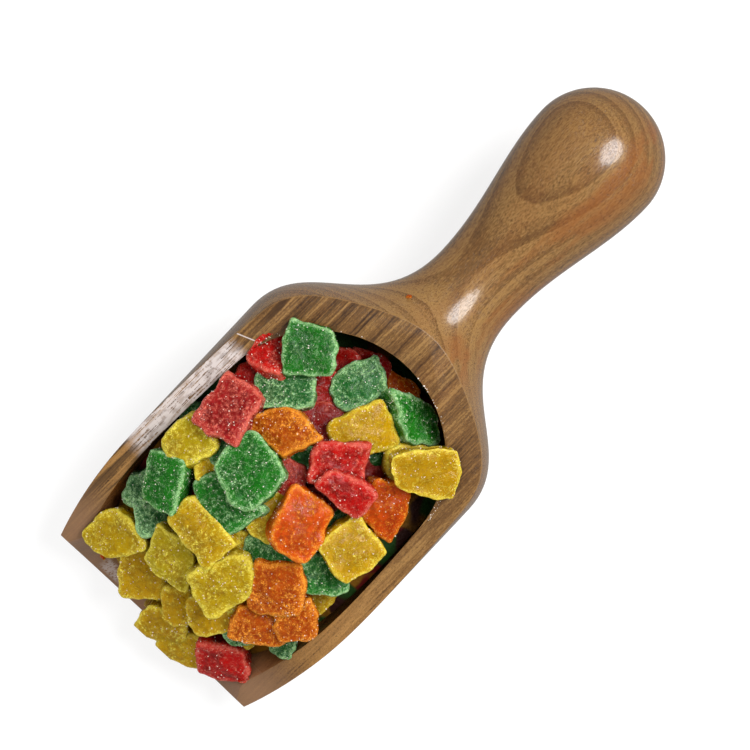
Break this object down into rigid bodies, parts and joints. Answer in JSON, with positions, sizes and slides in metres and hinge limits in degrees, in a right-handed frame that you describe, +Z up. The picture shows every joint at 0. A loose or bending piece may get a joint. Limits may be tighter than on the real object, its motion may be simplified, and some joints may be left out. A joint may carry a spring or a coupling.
{
  "type": "wooden scoop filled with sugared candied fruit",
  "caption": "Turned wooden scoop with a bulb handle and a slanting cut mouth, heaped with sugared candied fruit cut into blocks.",
  "frame": {"origin": "middle of the narrow flat under the bowl that the scoop rests on, 42 mm behind the mouth", "axes": "+X along the scoop from its mouth to the end of its handle, +Y to the left, +Z up, out of the opening"},
  "size_m": [0.2045, 0.0836, 0.0634],
  "materials": {
    "turned_wood": "lacquered brown wood with the growth rings showing",
    "candied_fruit": "translucent green, red, orange and yellow fruit, dusted with sugar"
  },
  "bodies": {
    "root": {"scoop": "turned_wood", "fruit_heap": "candied_fruit"}
  },
  "joints": []
}
